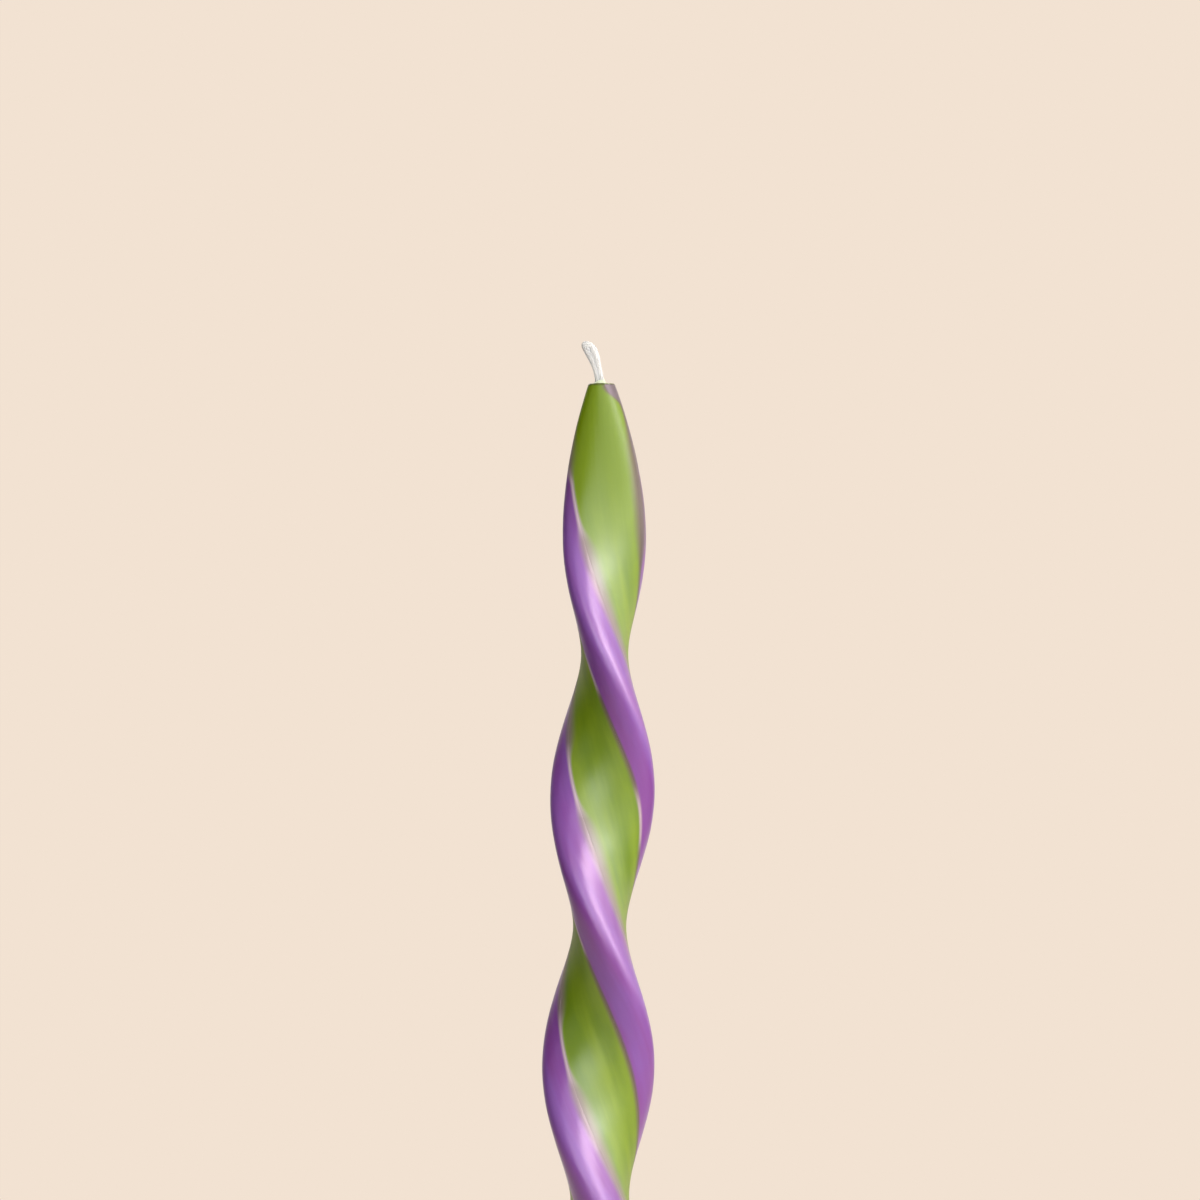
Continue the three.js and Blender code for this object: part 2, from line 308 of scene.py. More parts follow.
@dataclass(frozen=True)
class BandBorders:
    """Where the two borders of a purple band lie, as angles from its narrow edge on each side.

    The leading border comes first on the way down the front, and starts below the tip. The trailing border
    starts at the very tip with a small patch.
    """

    half_angle: float = math.radians(57.5)
    lead_angle_at_tip: float = math.radians(4)
    lead_start: float = 16 * MM
    lead_end: float = 25.5 * MM
    lead_gap: float = math.radians(25)
    lead_gap_depth: float = 24 * MM
    lead_length: float = 12.5 * MM
    lead_swelling: float = math.radians(4)
    lead_swelling_depth: float = 116 * MM
    trail_angle_at_tip: float = math.radians(6)
    trail_start: float = 6 * MM
    trail_length: float = 29 * MM
    trail_power: float = 1.2
    trail_waist: float = math.radians(-6.5)
    trail_waist_depth: float = 104 * MM
    wave_length: float = 15 * MM
    patch_angle: float = math.radians(58)
    patch_length: float = 3.9 * MM
    relief_at_tip: float = 0.25
    relief_end: float = 40 * MM
    # Painted highlight: depths and half-lengths of the stretches where a thin pale line is painted along
    # each border, in place of the glint on its ridge.
    lead_highlight_depths: tuple[float, ...] = (30 * MM, 99 * MM, 166 * MM)
    lead_highlight_lengths: tuple[float, ...] = (9 * MM,)
    trail_highlight_depths: tuple[float, ...] = (72 * MM, 109 * MM, 137 * MM, 208 * MM)
    trail_highlight_lengths: tuple[float, ...] = (5 * MM, 7 * MM, 5 * MM, 6 * MM)

    def lead(self, depth: Array) -> Array:
        """Gives the leading border: a smooth start, an exponential rise, and one swelling of the hand.

        Args:
            depth: Depth below the tip.

        Returns:
            The angle at each depth, in radians.
        """
        fade = np.exp(-(np.maximum(depth, self.lead_start) - self.lead_gap_depth) / self.lead_length)
        risen = self.half_angle - self.lead_gap * fade
        opened = smooth_share(depth, self.lead_start, self.lead_end)
        body = blend_values(self.lead_angle_at_tip, risen, opened)
        swelling = np.exp(-(((depth - self.lead_swelling_depth) / self.wave_length) ** 2))
        return body + self.lead_swelling * swelling

    def trail(self, depth: Array) -> Array:
        """Gives the trailing border: a patch at the tip, a steady rise, and one waist of the hand.

        Args:
            depth: Depth below the tip.

        Returns:
            The angle at each depth, in radians.
        """
        run = np.maximum(depth - self.trail_start, 0) / self.trail_length
        risen = 1 - np.exp(-(run**self.trail_power))
        body = blend_values(self.trail_angle_at_tip, self.half_angle, risen)
        waist = np.exp(-(((depth - self.trail_waist_depth) / self.wave_length) ** 2))
        patch = np.exp(-((depth / self.patch_length) ** 3))
        return body + self.trail_waist * waist + self.patch_angle * patch

    def relief_share(self, depth: Array) -> Array:
        """Gives how deep the borders are worked: faint at the tip and full further down."""
        return blend_values(self.relief_at_tip, 1, smooth_share(depth, 0, self.relief_end))

    def highlight_lip_share(self, depth: Array, trailing: Array) -> Array:
        """Is 1 where a thin pale line, a painted highlight in place of the glint on the border's ridge, is
        laid along a border, and falls off as a flat-topped bell.

        Args:
            depth: Depth below the tip.
            trailing: 1 nearer to the trailing border and 0 nearer to the leading one.

        Returns:
            The share at each point.
        """
        lead = self._bells(depth, self.lead_highlight_depths, self.lead_highlight_lengths)
        trail = self._bells(depth, self.trail_highlight_depths, self.trail_highlight_lengths)
        return blend_values(lead, trail, trailing)

    @staticmethod
    def _bells(depth: Array, middles: tuple[float, ...], lengths: tuple[float, ...]) -> Array:
        """Gives the sum of flat-topped bells, exp(-x^4), with the given middles and half-lengths."""
        reach = (depth[..., None] - np.asarray(middles)) / np.asarray(lengths)
        return np.exp(-(reach**4)).sum(axis=-1)


@dataclass(frozen=True)
class BorderStain:
    """How far the other wax has run into this one along a band's borders, and where a pale painted highlight
    is laid over that stain.
    """

    lead_width: float
    trail_width: float
    upper_trail_width: float
    # The painted highlight narrows the stain to a thin pale line, and lays a little pale colour along the
    # leading border.
    highlight_lip_width: float
    lead_painted_highlight: float = 0.3
    lead_loss_at_tip: float = 0.6
    upper_start: float = 232 * MM
    upper_end: float = 244 * MM
    tip_start: float = 262 * MM
    tip_end: float = 272 * MM

    def share(self, z: Array, distance: Array, trailing: Array, highlight_lip: Array) -> Array:
        """Gives the share of stain, which falls smoothly from 1 at the border to 0 a width away.

        Args:
            z: Heights.
            distance: Distances from the nearest border.
            trailing: 1 nearer to the trailing border and 0 nearer to the leading one.
            highlight_lip: The share of painted highlight, where the stain narrows to a thin pale line in
                place of the glint on the border's ridge.

        Returns:
            The share at each point.
        """
        at_tip = smooth_share(z, self.tip_start, self.tip_end)
        raised = smooth_share(z, self.upper_start, self.upper_end) * (1 - at_tip)
        trail_width = blend_values(self.trail_width, self.upper_trail_width, raised)
        lead_width = self.lead_width * (1 - self.lead_loss_at_tip * at_tip)
        width = blend_values(lead_width, trail_width, trailing)
        width = blend_values(width, self.highlight_lip_width, highlight_lip)
        return 1 - smooth_share(np.maximum(distance, 0) / width, 0, 1)

    def painted_highlight(self, trailing: Array, highlight_lip: Array) -> Array:
        """Gives the share of painted highlight in the stain: fully on the pale lines, and a little along the
        leading border.
        """
        return np.maximum(highlight_lip, self.lead_painted_highlight * (1 - trailing))


@dataclass(frozen=True)
class Layers:
    """The thicknesses of the wax layers, and the small clearance that they keep."""

    coat_thickness: float = 1.9 * MM
    seat_depth: float = 1.0 * MM
    gap: float = 0.03 * MM
    core_top_depth: float = 6.3 * MM


class RingMesh:
    """A mesh made of rings: rows of points round the candle, with one quad between each four neighbours."""

    def __init__(self, name: str, rings: Array, joined: bool) -> None:
        """Keeps the rings and works out the faces.

        Args:
            name: The name of the piece.
            rings: Points as rows, places round a row, and coordinates. Rows run counter-clockwise from
                above.
            joined: Whether the last row meets the first. If not, both ends are capped across the row's
                width.
        """
        self.name = name
        self.rings = rings
        rows, around = rings.shape[:2]
        index = np.arange(rows * around).reshape(rows, around)
        upper = np.roll(index, -1, axis=0) if joined else index[1:]
        lower = index if joined else index[:-1]
        sides = np.stack([lower, np.roll(lower, -1, axis=1), np.roll(upper, -1, axis=1), upper], axis=-1)
        faces = [sides.reshape(-1, 4)]
        if not joined:
            faces += [self._cap(index[0])[:, ::-1], self._cap(index[-1])]
        self.faces = np.concatenate(faces)

    @staticmethod
    def _cap(row: Array) -> Array:
        """Closes a row whose second half runs back beside its first half, with quads across it.

        Args:
            row: The vertex numbers of the row.

        Returns:
            Faces, turned towards the rows' far side.
        """
        half = len(row) // 2
        out, back = row[:half], row[half:][::-1]
        return np.stack([out[:-1], out[1:], back[1:], back[:-1]], axis=-1)

    def build(self, attributes: dict[str, Array]) -> bpy.types.Object:
        """Puts the arrays into a Blender mesh with smooth faces.

        Args:
            attributes: Point attributes by name: a number or a vector for each point.

        Returns:
            The object, linked to the scene.
        """
        mesh = bpy.data.meshes.new(self.name)
        count = len(self.faces)
        mesh.vertices.add(self.rings.shape[0] * self.rings.shape[1])
        mesh.vertices.foreach_set("co", self.rings.astype(np.float32).ravel())
        mesh.loops.add(count * 4)
        mesh.loops.foreach_set("vertex_index", self.faces.astype(np.int32).ravel())
        mesh.polygons.add(count)
        mesh.polygons.foreach_set("loop_start", np.arange(0, count * 4, 4, dtype=np.int32))
        mesh.polygons.foreach_set("use_smooth", np.ones(count, dtype=bool))
        mesh.update(calc_edges=True)
        mesh.validate()
        mesh.set_sharp_from_angle(angle=SHARP_FOLD)
        for name, values in attributes.items():
            vector = values.ndim == self.rings.ndim
            layer = mesh.attributes.new(name, "FLOAT_VECTOR" if vector else "FLOAT", "POINT")
            layer.data.foreach_set("vector" if vector else "value", values.astype(np.float32).ravel())
        piece = bpy.data.objects.new(self.name, mesh)
        bpy.context.scene.collection.objects.link(piece)
        return piece


class MixKind(Enum):
    """What a Mix node mixes: its name there, and the places of both inputs and of the result."""

    COLOURS = ("RGBA", 6, 7, 2)
    VALUES = ("FLOAT", 2, 3, 0)


class Rise(Enum):
    """How a remapped value goes from end to end."""

    EVEN = "LINEAR"
    SMOOTH = "SMOOTHSTEP"


class NodeGraph:
    """A short way to fill the node tree of a material or of the world."""

    def __init__(self, owner: bpy.types.Material | bpy.types.World) -> None:
        """Empties the owner's node tree.

        Args:
            owner: The material or the world.
        """
        owner.use_nodes = True
        self.nodes = owner.node_tree.nodes
        self.links = owner.node_tree.links
        self.nodes.clear()

    def add(self, kind: str, settings: dict | None = None, **inputs: object) -> bpy.types.Node:
        """Adds a node.

        Args:
            kind: The node's type, without its ShaderNode prefix.
            settings: Properties of the node.
            inputs: Values or sockets for its inputs, by name, with underscores for spaces.

        Returns:
            The node.
        """
        node = self.nodes.new("ShaderNode" + kind)
        for key, value in (settings or {}).items():
            setattr(node, key, value)
        for key, value in inputs.items():
            self.set(node, key.replace("_", " "), value)
        return node

    def set(self, node: bpy.types.Node, name: str | int, value: object) -> None:
        """Links a socket to an input, or gives the input a constant.

        Args:
            node: The node.
            name: The input's name, or its place among the inputs.
            value: The socket or the constant.
        """
        socket = node.inputs[name]
        if isinstance(value, Socket):
            self.links.new(value, socket)
        else:
            socket.default_value = value

    def ordered(self, kind: str, settings: dict, *values: object) -> Socket:
        """Adds a node whose inputs are told apart by their order alone.

        Args:
            kind: The node's type, without its ShaderNode prefix.
            settings: Properties of the node.
            values: Values or sockets for its first inputs, in order.

        Returns:
            Its first output.
        """
        node = self.add(kind, settings)
        for place, value in enumerate(values):
            self.set(node, place, value)
        return node.outputs[0]

    def noise(self, vector: Socket, scale: float, detail: float) -> Socket:
        """Adds a noise pattern and gives its value, about 0.5 on average."""
        return self.add("TexNoise", Vector=vector, Scale=scale, Detail=detail).outputs["Fac"]

    def stretched(self, vector: Socket, stretch: float) -> Socket:
        """Scales a place's height, so that a pattern runs long where the scale is small."""
        return self.add("Mapping", Vector=vector, Scale=(1, 1, stretch)).outputs["Vector"]

    def remap(self, value: Socket, span: Span, to: Span = (0, 1), rise: Rise = Rise.EVEN) -> Socket:
        """Maps a range of a value onto another range, held at its ends.

        Args:
            value: The value.
            span: Its range.
            to: The range that it is mapped onto.
            rise: How it goes from end to end.

        Returns:
            The mapped value.
        """
        ends = {"From_Min": span[0], "From_Max": span[1], "To_Min": to[0], "To_Max": to[1]}
        settings = {"clamp": True, "interpolation_type": rise.value}
        return self.add("MapRange", settings, Value=value, **ends).outputs["Result"]

    def mix(
        self, share: Socket | float, first: object, second: object, kind: MixKind = MixKind.COLOURS
    ) -> Socket:
        """Mixes two colours or two values.

        Args:
            share: The share of the second one.
            first: The first one.
            second: The second one.
            kind: Whether they are colours or values.

        Returns:
            The mixture.
        """
        data_type, first_place, second_place, result_place = kind.value
        node = self.add("Mix", {"data_type": data_type})
        for place, value in ((0, share), (first_place, first), (second_place, second)):
            self.set(node, place, value)
        return node.outputs[result_place]

    def attribute(self, name: str, output: str = "Fac") -> Socket:
        """Reads a point attribute of the piece, as a number or as another output."""
        node = self.add("Attribute", {"attribute_name": name, "attribute_type": "GEOMETRY"})
        return node.outputs[output]

    def reliefs(self, *layers: tuple[Socket, float]) -> Socket:
        """Lays one relief over another.

        Args:
            layers: The height pattern and the depth of each relief, the undermost first.

        Returns:
            The normal of all of them together.
        """
        under: dict[str, Socket] = {}
        for height, depth in layers:
            bump = self.add("Bump", Height=height, Distance=depth, **under)
            under = {"Normal": bump.outputs["Normal"]}
        return under["Normal"]

    def seen_directly(self) -> Socket:
        """Tells rays from the camera, a gloss or a clear body from rays that carry light.

        Returns:
            1 on the former and 0 on the latter.
        """
        path = self.add("LightPath").outputs
        seen = self.ordered("Math", {"operation": "MAXIMUM"}, path["Is Camera Ray"], path["Is Glossy Ray"])
        return self.ordered("Math", {"operation": "MAXIMUM"}, seen, path["Is Transmission Ray"])


class SurfaceGraph(NodeGraph):
    """The nodes of a material that has one Principled surface."""

    def __init__(self, name: str) -> None:
        """Starts the material with its surface.

        Args:
            name: The material's name.
        """
        self.material = bpy.data.materials.new(name)
        super().__init__(self.material)
        self.surface = self.add("BsdfPrincipled")
        self.add("OutputMaterial", Surface=self.surface.outputs["BSDF"])

    def dress(self, **inputs: object) -> bpy.types.Material:
        """Sets inputs of the surface.

        Args:
            inputs: Values or sockets by name, with underscores for spaces.

        Returns:
            The material.
        """
        for key, value in inputs.items():
            self.set(self.surface, key.replace("_", " "), value)
        return self.material


@dataclass(frozen=True)
class WaxFinish:
    """Dipped and rolled wax: a cloudy colour, faint streaks along the roll, a soft gloss and a little depth.

    Scales of patterns are in repeats to the metre. The upper stretch of the candle has a colour and gloss of
    its own.
    """

    name: str
    colour: Colour
    cloud_colour: Colour
    stain_colour: Colour | None = None
    # Painted highlight: the pale colour laid along band borders in place of the glint on their ridges.
    painted_highlight_colour: Colour = (178, 158, 166)
    tip_colour: Colour | None = None
    # The default tip range is the rounded top edge, where the green's tip colour is painted shade.
    tip_range: Span = (279.2 * MM, 279.7 * MM)
    # Over the upper stretch the wax takes another colour and a lower gloss.
    upper_stretch_colour: Colour | None = None
    upper_stretch_range: Span = (232 * MM, 264 * MM)
    gloss: float = 1.0
    upper_stretch_gloss: float = 1.0
    gloss_tint: Colour = (255, 255, 255)
    roughness: float = 0.36
    roughness_spread: Span = (-0.04, 0.06)
    refraction: float = 1.5
    bloom: float = 0.0
    bloom_roughness: float = 0.3
    streak_scale: float = 900
    broad_streak_scale: float = 260
    ripple_scale: float = 420
    cloud_scale: float = 150
    grain_scale: float = 2600
    streak_stretch: float = 0.05
    ripple_stretch: float = 0.35
    streak_range: Span = (0.3, 0.7)
    cloud_range: Span = (0.4, 0.6)
    cloud_streak_share: float = 0.5
    streak_relief: float = 0.02 * MM
    broad_streak_relief: float = 0.06 * MM
    grain_relief: float = 0.006 * MM
    ripple_relief: float = 0.0
    depth_share: float = 0.25
    depth_scale: float = 1.2 * MM
    depth_radius: Colour = (1.0, 0.8, 0.5)

    def material(self) -> bpy.types.Material:
        """Builds the wax from its unwound coordinates, so that the streaks turn with the candle.

        Returns:
            The material.
        """
        graph = SurfaceGraph(self.name)
        unwound = graph.attribute(UNWOUND, "Vector")
        drawn = graph.stretched(unwound, self.streak_stretch)
        rippled = graph.stretched(unwound, self.ripple_stretch)
        streaks = graph.noise(drawn, self.streak_scale, detail=2)
        broad_streaks = graph.noise(drawn, self.broad_streak_scale, detail=2)
        ripples = graph.noise(rippled, self.ripple_scale, detail=1)
        clouds = graph.noise(rippled, self.cloud_scale, detail=3)
        grain = graph.noise(unwound, self.grain_scale, detail=2)
        height = graph.add("SeparateXYZ", Vector=unwound).outputs["Z"]
        upper_stretch = graph.remap(height, self.upper_stretch_range, rise=Rise.SMOOTH)
        spread = (self.roughness + self.roughness_spread[0], self.roughness + self.roughness_spread[1])
        patches = graph.mix(self.cloud_streak_share, clouds, broad_streaks, MixKind.VALUES)
        return graph.dress(
            Base_Color=self._colour(graph, patches, height, upper_stretch),
            Roughness=graph.remap(broad_streaks, self.streak_range, spread),
            Specular_IOR_Level=graph.remap(upper_stretch, (0, 1), (self.gloss, self.upper_stretch_gloss)),
            Specular_Tint=linear(self.gloss_tint),
            Normal=graph.reliefs(
                (streaks, self.streak_relief),
                (broad_streaks, self.broad_streak_relief),
                (ripples, self.ripple_relief),
                (grain, self.grain_relief),
            ),
            Subsurface_Weight=self.depth_share,
            Subsurface_Scale=self.depth_scale,
            Subsurface_Radius=self.depth_radius,
            IOR=self.refraction,
            Sheen_Weight=self.bloom,
            Sheen_Roughness=self.bloom_roughness,
        )

    def _colour(self, graph: SurfaceGraph, patches: Socket, height: Socket, upper_stretch: Socket) -> Socket:
        """Mixes the wax's colours: clouds, then the upper stretch, the stained borders with their pale
        painted highlight, and the tip, which on the green is painted shade along the top edge.

        Args:
            graph: The material's nodes.
            patches: The pattern of the clouds.
            height: The height on the candle.
            upper_stretch: The share of the upper stretch.

        Returns:
            The colour.
        """
        clouded = graph.remap(patches, self.cloud_range)
        colour = graph.mix(clouded, linear(self.colour), linear(self.cloud_colour))
        if self.upper_stretch_colour:
            colour = graph.mix(upper_stretch, colour, linear(self.upper_stretch_colour))
        if self.stain_colour:
            # Painted highlight: the stain turns to the pale colour where the painted highlight share is
            # high.
            painted_highlight = graph.attribute(PAINTED_HIGHLIGHT)
            stain = graph.mix(painted_highlight, linear(self.stain_colour), linear(self.painted_highlight_colour))
            colour = graph.mix(graph.attribute(STAIN), colour, stain)
        if self.tip_colour:
            at_tip = graph.remap(height, self.tip_range, rise=Rise.SMOOTH)
            colour = graph.mix(at_tip, colour, linear(self.tip_colour))
        return colour


@dataclass(frozen=True)
class CottonFinish:
    """Braided white cotton with fine fibres, lightly waxed, which light passes through."""

    name: str
    colour: Colour = (200, 200, 198)
    # Painted shade: the greyer colour laid in the crease between the legs and in the braid's hollows.
    crease_shade_colour: Colour = (188, 190, 193)
    roughness: float = 0.85
    gloss: float = 0.2
    sheen: float = 0.5
    sheen_roughness: float = 0.7
    fibre_scale: float = 6000
    fibre_relief: float = 0.001 * MM
    depth_scale: float = 1.6 * MM

    def material(self) -> bpy.types.Material:
        """Builds the cotton: white strands, with painted shade, a greyer colour, in the crease between the
        legs and in the braid's hollows.

        Returns:
            The material.
        """
        graph = SurfaceGraph(self.name)
        graph.surface.subsurface_method = "BURLEY"
        crease_shade_share = graph.attribute(PAINTED_CREASE_SHADE)
        fibres = graph.noise(graph.attribute(UNWOUND, "Vector"), self.fibre_scale, detail=3)
        return graph.dress(
            Base_Color=graph.mix(crease_shade_share, linear(self.colour), linear(self.crease_shade_colour)),
            Roughness=self.roughness,
            Diffuse_Roughness=1.0,
            Specular_IOR_Level=self.gloss,
            Normal=graph.reliefs((fibres, self.fibre_relief)),
            Sheen_Weight=self.sheen,
            Sheen_Roughness=self.sheen_roughness,
            Subsurface_Weight=1.0,
            Subsurface_Scale=self.depth_scale,
            Subsurface_Radius=(1, 1, 1),
        )


GREEN_WAX = WaxFinish(
    "green_wax",
    colour=(99, 126, 0),
    cloud_colour=(120, 144, 6),
    stain_colour=(102, 90, 68),
    # Painted shade: a darker green over the rounded top edge, where the surface turns up away from the
    # lamps.
    tip_colour=(82, 94, 14),
    upper_stretch_colour=(110, 134, 0),
    upper_stretch_gloss=0.5,
    gloss_tint=(240, 246, 255),
    roughness=0.38,
)
PURPLE_WAX = WaxFinish(
    "purple_wax",
    colour=(121, 61, 141),
    cloud_colour=(123, 75, 156),
    stain_colour=(90, 80, 62),
    tip_colour=(108, 96, 100),
    tip_range=(257 * MM, 273 * MM),
    upper_stretch_colour=(114, 66, 126),
    upper_stretch_gloss=0.4,
    gloss_tint=(252, 234, 255),
    roughness=0.34,
    refraction=1.55,
    bloom=0.45,
    ripple_relief=0.06 * MM,
)
CORE_WAX = WaxFinish("core_wax", colour=(240, 234, 214), cloud_colour=(232, 225, 203), roughness=0.5)
COLLAR_WAX = WaxFinish(
    "collar_wax", colour=(206, 214, 180), cloud_colour=(206, 214, 180), roughness=0.5
)
WICK_COTTON = CottonFinish("wick_cotton")


class NarrowEdge(Enum):
    """The two narrow edges of the section, by the angle at which each starts."""

    A = 0.0
    B = math.pi


def finish_piece(
    piece: bpy.types.Object, material: bpy.types.Material, nodes: tuple[str, ...]
) -> None:
    """Gives a piece its material and ties it to the frame.

    Args:
        piece: The Blender object.
        material: Its material.
        nodes: The CAD nodes that it stands for.
    """
    piece.data.materials.append(material)
    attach(piece, ROOT)
    if nodes:
        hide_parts(*nodes)
    log.info("%s: %d faces", piece.name, len(piece.data.polygons))


@dataclass(frozen=True)
class HandWork:
    """The slight unevenness of hand-rolled wax, as slow waves of the unwound surface."""

    height: float = 0.05 * MM
    wave_length: float = 31 * MM
    long_lobes: int = 2
    long_sway: float = 2.0
    long_shift: float = 0.7
    short_ratio: float = 2.7
    short_share: float = 0.45
    short_sway: float = 3.0
    short_shift: float = 0.5

    def relief(self, z: Array, angle: Array) -> Array:
        """Gives how far the surface dips.

        Formula: the sum of a long sine wave of the height and a short one. Both sway up and down round the
        section, and the long one changes sides with its lobes.

        Args:
            z: Heights.
            angle: Section angles.

        Returns:
            The dip at each point, positive inwards, in metres.
        """
        phase = FULL_TURN * z / self.wave_length
        long_wave = np.sin(phase + self.long_sway * np.cos(angle))
        long_wave = long_wave * np.cos(self.long_lobes * angle + self.long_shift)
        short_phase = self.short_ratio * phase + self.short_sway * np.sin(angle + self.short_shift)
        return self.height * (1 + (long_wave + self.short_share * np.sin(short_phase)) / 2)


@dataclass(frozen=True)
class BandSpan:
    """A band's two borders at each height, as angles from its narrow edge, with what they measure there."""

    lead: Array
    trail: Array
    lead_speed: Array
    trail_speed: Array
    share_for_details: float = 0.75

    @property
    def middle(self) -> Array:
        """Gives the angle half way between the borders."""
        return (self.lead - self.trail) / 2

    def crowding(self, room: float) -> Array:
        """Gives the share by which details at the borders shrink where the band is too narrow for them.

        Args:
            room: The width that a border's details take up.

        Returns:
            A share at each height, 1 where there is room.
        """
        half_width = (self.lead * self.lead_speed + self.trail * self.trail_speed) / 2
        return np.minimum(self.share_for_details * half_width / room, 1)


@dataclass
class WaxBody:
    """What the wax pieces share: the form, the band borders, the layers and the levels of their rings."""

    form: TaperForm
    band_borders: BandBorders
    layers: Layers
    hand_work: HandWork
    level_step: float = 0.7 * MM
    tip_level_step: float = 0.3 * MM
    tip_length: float = 7 * MM
    rounding_rows: int = 8

    @staticmethod
    def levels(low: float, high: float, step: float) -> Array:
        """Gives evenly spaced heights as a column."""
        count = int(math.ceil((high - low) / step))
        return np.linspace(low, high, count + 1)[:, None]

    def outer_levels(self, top: float) -> Array:
        """Gives heights from the foot to a top, closer near the tip and over the rounded edges.

        Args:
            top: The highest level.

        Returns:
            The heights as a column.
        """
        form = self.form
        share = 1 - np.cos(np.linspace(0, FULL_TURN / 4, self.rounding_rows))
        foot = form.foot_edge_radius * share
        tip = form.wax_height - form.tip_edge_radius * share[::-1]
        near_tip = form.wax_height - self.tip_length
        body = self.levels(foot[-1], near_tip, self.level_step)[1:, 0]
        upper = self.levels(near_tip, tip[0], self.tip_level_step)[1:-1, 0]
        rows = np.concatenate([foot, body, upper, tip])
        return np.append(rows[rows < top - TOLERANCE], top)[:, None]

    def worked_inset(self, z: Array, angle: Array) -> Array:
        """Gives the inset of the hand-worked surface, with the rounded edges of tip and foot."""
        return self.form.edge_inset(self.form.wax_height - z) + self.hand_work.relief(z, angle)

    def span(self, z: Array) -> BandSpan:
        """Gives the extent of a band.

        Args:
            z: Heights as a column.

        Returns:
            The band's borders at each height.
        """
        depth = self.form.wax_height - z
        lead, trail = self.band_borders.lead(depth), self.band_borders.trail(depth)
        return BandSpan(lead, trail, self.form.arc_speed(z, lead), self.form.arc_speed(z, trail))


@dataclass
class WaxCoat:
    """The green over-dip: a shell with a seat for each band, open at the foot and at the wick's hole."""

    body: WaxBody
    stain: BorderStain = BorderStain(
        lead_width=3.6 * MM, trail_width=1.3 * MM, upper_trail_width=2.6 * MM, highlight_lip_width=0.7 * MM
    )
    face_steps: int = 64
    seat_steps: int = 13
    shoulder_offsets_mm: tuple[float, ...] = (0, 0.05, 0.12, 0.22, 0.36, 0.56, 0.85)
    seat_offsets_mm: tuple[float, ...] = (0.06, 0.3, 0.8)
    seat_start: float = 0.01 * MM
    shoulder_drop: float = 0.02 * MM
    shoulder_length: float = 0.22 * MM
    trailing_sharpness: float = 6
    hole_half_width: float = 1.27 * MM
    hole_half_thickness: float = 0.72 * MM
    dome_height: float = 0.12 * MM
    face_rows: int = 8
    cavity_step: float = 4 * MM

    def _half_around(self, z: Array) -> tuple[Array, Array]:
        """Gives the section angles from the middle of one band seat to the middle of the next.

        Args:
            z: Heights as a column.

        Returns:
            The angles, and each one's distance from the nearest band border, positive on the face.
        """
        span = self.body.span(z)
        near, far = span.lead, FULL_TURN / 2 - span.trail
        shoulder = np.array(self.shoulder_offsets_mm) * MM
        seat = np.array(self.seat_offsets_mm) * MM
        seat = seat * span.crowding(seat[-1])
        near_seat_end = near - seat[:, -1:] / span.lead_speed
        far_seat_end = far + seat[:, -1:] / span.trail_speed
        face_start = near + shoulder[-1] / span.lead_speed
        face_end = far - shoulder[-1] / span.trail_speed
        share = np.linspace(0, 1, self.seat_steps)
        parts = [
            blend_values(span.middle, near_seat_end, share[:-1]),
            near - seat[:, ::-1] / span.lead_speed,
            near + shoulder / span.lead_speed,
            blend_values(face_start, face_end, np.linspace(0, 1, self.face_steps)[1:-1]),
            far - shoulder[::-1] / span.trail_speed,
            far + seat / span.trail_speed,
            blend_values(far_seat_end, FULL_TURN / 2 + span.middle, share[1:-1]),
        ]
        angles = np.concatenate(parts, axis=1)
        distance = np.minimum((angles - near) * span.lead_speed, (far - angles) * span.trail_speed)
        return angles, distance

    def _around(self, z: Array) -> tuple[Array, Array]:
        """Repeats the half section on the other side.

        Args:
            z: Heights as a column.

        Returns:
            The angles of every place round each row, and their distances from the nearest band border.
        """
        angles, distance = self._half_around(z)
        both = np.concatenate([angles, angles + FULL_TURN / 2], axis=1)
        return both, np.concatenate([distance, distance], axis=1)

    def _trailing(self, angles: Array) -> Array:
        """Gives 1 at the places nearer to a trailing border and 0 at the others, with a smooth change."""
        return (1 - np.tanh(self.trailing_sharpness * np.sin(2 * angles))) / 2

    def build(self) -> None:
        """Builds the shell as rows up the outside, in over the tip, and down the inside to the foot."""
        body, form, layers = self.body, self.body.form, self.body.layers
        z = body.outer_levels(form.wax_height)
        depth = form.wax_height - z
        angles, distance = self._around(z)
        drop = self.shoulder_drop * np.exp(-np.maximum(distance, 0) / self.shoulder_length)
        inset = body.worked_inset(z, angles) + body.band_borders.relief_share(depth) * drop
        inset = inset + np.where(distance < -self.seat_start, layers.seat_depth, 0)
        outside = form.places(z, angles, inset)

        hole_along, hole_across = np.cos(angles[-1:]), np.sin(angles[-1:])
        hole = stacked(self.hole_half_width * hole_along, self.hole_half_thickness * hole_across, 0)
        share = np.linspace(0, 1, self.face_rows + 1)[1:, None]
        face = blend_values(outside[-1:], hole, share[..., None])
        face[..., 2] = form.wax_height + self.dome_height * smooth_share(share, 0, 1)
        hole[..., 2] = form.wax_height - layers.core_top_depth + layers.gap
        cavity_z = body.levels(0, hole[0, 0, 2], self.cavity_step)[::-1]
        cavity = form.places(cavity_z, self._around(cavity_z)[0], layers.coat_thickness)

        unwound = np.concatenate([outside, face, hole, cavity])
        rings = form.wound(unwound)
        rings[len(z) : len(z) + self.face_rows, :, 0] -= share * form.wick_drift_at_tip
        stain, painted_highlight = np.zeros(unwound.shape[:2]), np.zeros(unwound.shape[:2])
        trailing = self._trailing(angles)
        # The painted highlight: thin pale lines along stretches of the borders.
        highlight_lip = body.band_borders.highlight_lip_share(depth, trailing)
        stain[: len(z)] = self.stain.share(z, distance, trailing, highlight_lip)
        painted_highlight[: len(z)] = self.stain.painted_highlight(trailing, highlight_lip)
        attributes = {UNWOUND: unwound, STAIN: stain, PAINTED_HIGHLIGHT: painted_highlight}
        piece = RingMesh("green_coat_wax", rings, joined=True).build(attributes)
        finish_piece(piece, GREEN_WAX.material(), ("green_coat",))


